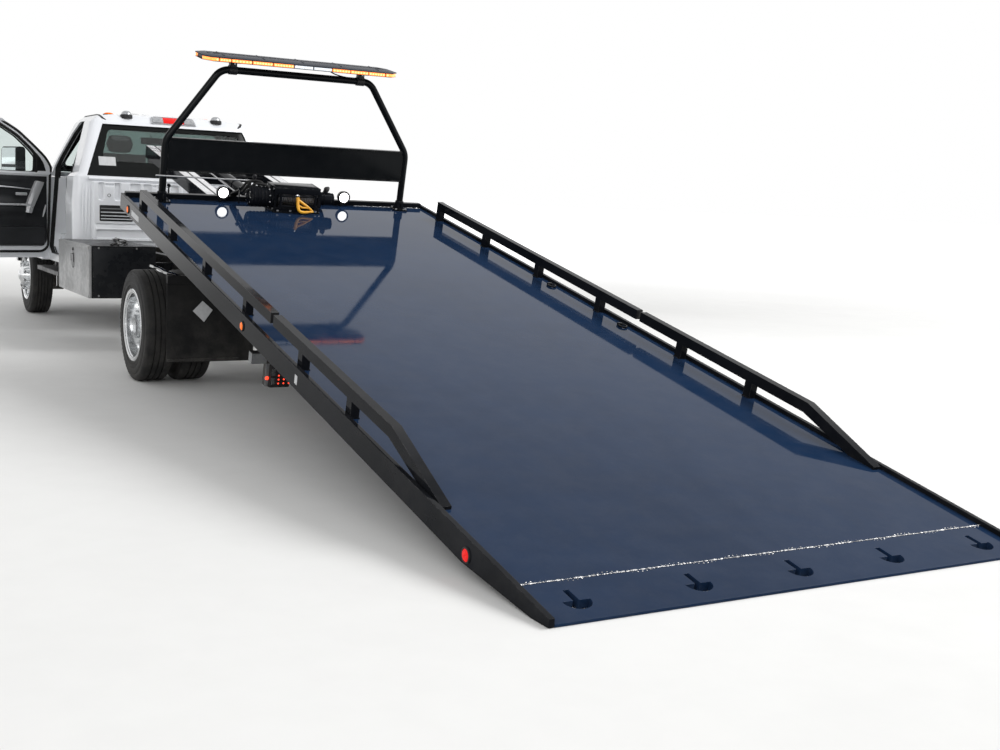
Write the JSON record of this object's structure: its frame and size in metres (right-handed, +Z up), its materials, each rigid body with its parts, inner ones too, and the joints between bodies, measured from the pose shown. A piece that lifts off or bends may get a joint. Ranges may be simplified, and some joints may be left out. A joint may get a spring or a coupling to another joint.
{
  "type": "flatbed carrier truck",
  "caption": "Medium-duty carrier truck with a sliding, tilting flat deck set down to the ground, a winch, headboard hoop, light bar and one cab door open.",
  "frame": {"origin": "on the ground at mid width, on the flat under the deck's tail, 30 mm ahead of the tail's edge", "axes": "+X from the deck's tail towards the front bumper, +Y to the truck's left (the driver's side), +Z up"},
  "size_m": [12.04, 3.3549, 2.4084],
  "materials": {
    "amber_lamp": "gloss",
    "bare_steel": "satin",
    "black_plastic": "matte",
    "brushed_alloy": "brushed",
    "cast_metal": "rough",
    "chrome": "polished",
    "clear_lamp": "gloss",
    "frame_black": "satin",
    "glass": "gloss",
    "gloss_black": "gloss",
    "grey_trim": "matte",
    "polished_alloy": "polished",
    "red_lamp": "gloss",
    "rubber": "matte",
    "seat_cloth": "woven",
    "tyre": "matte",
    "white_paint": "gloss",
    "yellow_paint": "gloss"
  },
  "bodies": {
    "chassis": {"chassis_frame": "frame_black", "frame_cross_members": "frame_black", "leaf_springs": "cast_metal", "rear_axle": "cast_metal", "front_axle": "cast_metal", "driveline": "cast_metal", "exhaust": "bare_steel", "fuel_tank": "frame_black", "cab_shell": "white_paint", "cab_glass": "glass", "fenders": "white_paint", "grille": "chrome", "headlamps": "clear_lamp", "front_bumper": "chrome", "dashboard": "grey_trim", "bench_seat": "seat_cloth", "running_boards": "brushed_alloy", "cab_lamps": "clear_lamp", "toolboxes": "frame_black", "mud_flaps": "rubber"},
    "left_knuckle": {"knuckle_left": "cast_metal"},
    "right_knuckle": {"knuckle_right": "cast_metal"},
    "front_left_wheel": {"front_tyre_left": "tyre", "front_wheel_left": "chrome"},
    "front_right_wheel": {"front_tyre_right": "tyre", "front_wheel_right": "chrome"},
    "rear_left_wheels": {"rear_tyres_left": "tyre", "rear_wheels_left": "polished_alloy"},
    "rear_right_wheels": {"rear_tyres_right": "tyre", "rear_wheels_right": "polished_alloy"},
    "tilting_frame": {"tilt_frame": "frame_black", "slide_cylinder": "frame_black", "tail_lamp_bar": "frame_black", "tail_lamps": "red_lamp"},
    "deck": {"deck_plate": "gloss_black", "deck_tail": "gloss_black", "side_channels": "gloss_black", "deck_cross_members": "frame_black", "deck_sills": "frame_black", "slide_rod": "chrome", "front_rail": "gloss_black", "side_rails": "gloss_black", "headboard": "gloss_black", "light_bar": "amber_lamp", "winch": "frame_black", "release_rod": "bare_steel", "tow_hook": "yellow_paint", "deck_lamps": "clear_lamp"},
    "cylinder_barrels": {"tilt_barrels": "frame_black"},
    "cylinder_rods": {"tilt_rods": "chrome"},
    "left_door": {"door_left": "white_paint", "door_glass_left": "glass", "mirror_left": "black_plastic"},
    "right_door": {"door_right": "white_paint", "door_glass_right": "glass", "mirror_right": "black_plastic"},
    "hood_lid": {"hood": "white_paint"},
    "left_box_door": {"toolbox_door_left": "brushed_alloy"},
    "right_box_door": {"toolbox_door_right": "brushed_alloy"}
  },
  "joints": [
    {"name": "steer_left", "type": "hinge", "parent": "chassis", "child": "left_knuckle", "pos_m": [11.037, 0.8, 0.405], "axis": [0, 0, 1], "range_deg": [-35, 35]},
    {"name": "steer_right", "type": "hinge", "parent": "chassis", "child": "right_knuckle", "pos_m": [11.037, -0.8, 0.405], "axis": [0, 0, 1], "range_deg": [-35, 35]},
    {"name": "front_left_spin", "type": "hinge", "parent": "left_knuckle", "child": "front_left_wheel", "pos_m": [11.037, 0.965, 0.405], "axis": [0, 1, 0], "continuous": true},
    {"name": "front_right_spin", "type": "hinge", "parent": "right_knuckle", "child": "front_right_wheel", "pos_m": [11.037, -0.965, 0.405], "axis": [0, 1, 0], "continuous": true},
    {"name": "rear_left_spin", "type": "hinge", "parent": "chassis", "child": "rear_left_wheels", "pos_m": [5.83, 0.94, 0.405], "axis": [0, 1, 0], "continuous": true},
    {"name": "rear_right_spin", "type": "hinge", "parent": "chassis", "child": "rear_right_wheels", "pos_m": [5.83, -0.94, 0.405], "axis": [0, 1, 0], "continuous": true},
    {"name": "deck_tilt", "type": "hinge", "parent": "chassis", "child": "tilting_frame", "pos_m": [4.57, 0, 0.73], "axis": [0, 1, 0], "range_deg": [0, 12.27]},
    {"name": "deck_slide", "type": "slide", "parent": "tilting_frame", "child": "deck", "axis": [0.9772, 0, 0.2125], "range_m": [0, 2.61]},
    {"name": "barrel_swing", "type": "hinge", "parent": "chassis", "child": "cylinder_barrels", "pos_m": [6.72, 0, 0.5], "axis": [0, 1, 0], "range_deg": [0, 30.36]},
    {"name": "rod_stroke", "type": "slide", "parent": "cylinder_barrels", "child": "cylinder_rods", "axis": [0.6953, 0, 0.7187], "range_m": [-0.282, 0]},
    {"name": "left_door_swing", "type": "hinge", "parent": "chassis", "child": "left_door", "pos_m": [10.236, 1.012, 0.7], "axis": [0, 0, 1], "range_deg": [0, 70]},
    {"name": "right_door_swing", "type": "hinge", "parent": "chassis", "child": "right_door", "pos_m": [10.236, -1.012, 0.7], "axis": [0, 0, 1], "range_deg": [0, 70]},
    {"name": "hood_swing", "type": "hinge", "parent": "chassis", "child": "hood_lid", "pos_m": [10.63, 0, 1.478], "axis": [0, -1, 0], "range_deg": [0, 45]},
    {"name": "left_box_door_swing", "type": "hinge", "parent": "chassis", "child": "left_box_door", "pos_m": [8.019, 1.17, 0.464], "axis": [-1, 0, 0], "range_deg": [0, 90]},
    {"name": "right_box_door_swing", "type": "hinge", "parent": "chassis", "child": "right_box_door", "pos_m": [8.019, -1.17, 0.464], "axis": [1, 0, 0], "range_deg": [0, 90]}
  ],
  "couplings": [
    {"joint": "steer_right", "follows": "steer_left", "ratio": 1},
    {"joint": "barrel_swing", "follows": "deck_tilt", "ratio": 2.4699},
    {"joint": "rod_stroke", "follows": "deck_tilt", "m_per_rad": -1.312}
  ]
}
